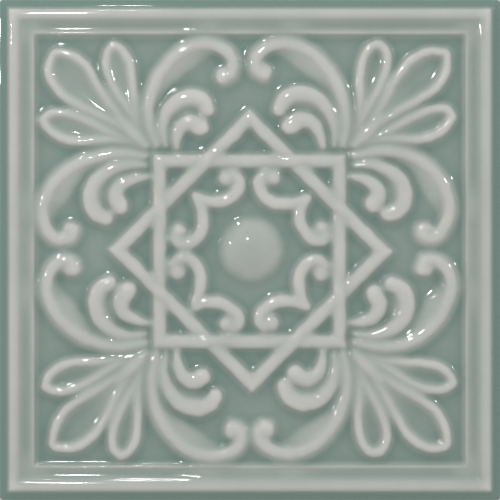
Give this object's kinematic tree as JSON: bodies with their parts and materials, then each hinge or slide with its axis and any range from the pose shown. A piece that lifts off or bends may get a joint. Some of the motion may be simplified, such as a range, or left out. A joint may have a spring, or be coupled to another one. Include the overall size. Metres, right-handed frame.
{
  "type": "ceramic relief wall tile",
  "caption": "Square glazed ceramic wall tile with a moulded frame and relief of an interlaced star, domed boss, palmettes and curling leaves.",
  "frame": {"origin": "middle of the flat back, in the plane of the back", "axes": "+Z points out of the back through the glazed face; +X points to the right and +Y to the top of the pattern as the tile is seen from its face"},
  "size_m": [0.15, 0.15, 0.0105],
  "materials": {
    "celadon_glaze": "glossy"
  },
  "bodies": {
    "root": {"tile": "celadon_glaze"}
  },
  "joints": []
}
